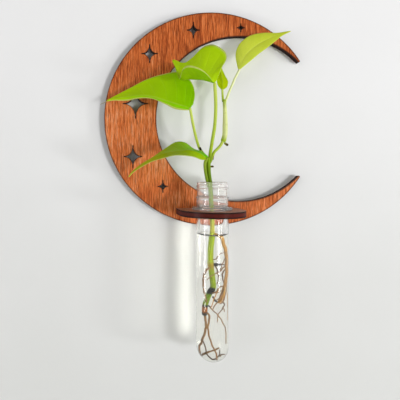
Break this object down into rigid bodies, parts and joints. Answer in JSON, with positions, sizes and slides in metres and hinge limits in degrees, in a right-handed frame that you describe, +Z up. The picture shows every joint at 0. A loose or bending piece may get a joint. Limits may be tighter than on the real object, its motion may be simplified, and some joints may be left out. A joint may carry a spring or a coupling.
{
  "type": "propagation vase",
  "caption": "Wall-hung crescent-moon plaque with star cut-outs, whose shelf carries a clear test tube with a leafy cutting that roots in water.",
  "frame": {"origin": "centre of the moon's outer circle, on the plane of the wall", "axes": "+Z up along the tube, +Y into the wall, +X towards the horns on the moon's open side"},
  "size_m": [0.1728, 0.052, 0.3003],
  "materials": {
    "stained_plywood": "stained satin with charred cut edges",
    "clear_plastic": "clear gloss",
    "foam": "matte foam",
    "stem": "satin plant skin",
    "leaf": "satin leaf",
    "root": "matte root"
  },
  "bodies": {
    "moon_stand": {"moon_plate": "stained_plywood", "tube_shelf": "stained_plywood", "foam_pad_top": "foam", "foam_pad_upper_left": "foam", "foam_pad_left": "foam", "foam_pad_lower_left": "foam"},
    "tube": {"test_tube": "clear_plastic"},
    "cutting": {"main_stem": "stem", "side_stem": "stem", "shoot_sheath": "stem", "large_left_stalk": "stem", "upper_curled_stalk": "stem", "young_stalk": "stem", "lower_left_stalk": "stem", "upper_right_stalk": "stem", "large_left_leaf": "leaf", "upper_curled_leaf": "leaf", "young_leaf": "leaf", "lower_left_leaf": "leaf", "upper_right_leaf": "leaf", "right_main_root": "root", "upper_rootlet": "root", "left_loop_root": "root", "inner_rootlet": "root", "middle_rootlet": "root", "right_long_root": "root", "left_long_root": "root", "centre_long_root": "root", "crossing_rootlet": "root", "forked_rootlet": "root", "bottom_loop_root": "root"}
  },
  "joints": [
    {"name": "tube_lift", "type": "slide", "parent": "moon_stand", "child": "tube", "axis": [0, 0, 1], "range_m": [0, 0.13]},
    {"name": "cutting_lift", "type": "slide", "parent": "tube", "child": "cutting", "axis": [0, 0, 1], "range_m": [0, 0.155]}
  ]
}
